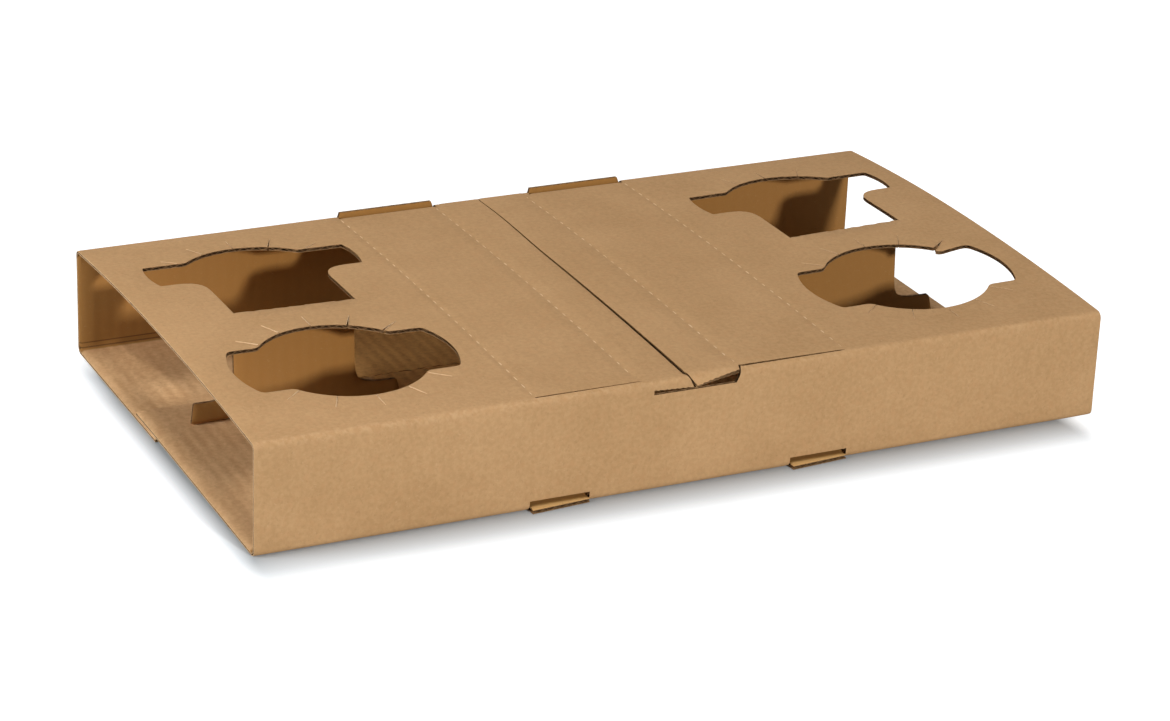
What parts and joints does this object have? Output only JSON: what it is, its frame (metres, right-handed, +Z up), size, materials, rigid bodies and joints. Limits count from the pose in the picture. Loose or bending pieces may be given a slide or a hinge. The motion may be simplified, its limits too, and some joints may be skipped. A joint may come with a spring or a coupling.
{
  "type": "cardboard cup carrier",
  "caption": "Folded corrugated-board cup carrier: a flat open-ended sleeve with lobed cup openings, standing divider flaps and closed centre doors.",
  "frame": {"origin": "centre of the outer sleeve on the surface that the floor stands on", "axes": "+X along the length from open end to open end, +Y from the front wall to the back wall, +Z up through the cup openings"},
  "size_m": [0.456, 0.2706, 0.0605],
  "materials": {
    "kraft_board": "matt uncoated brown kraft board"
  },
  "bodies": {
    "root": {"carrier_sheet": "kraft_board"}
  },
  "joints": []
}
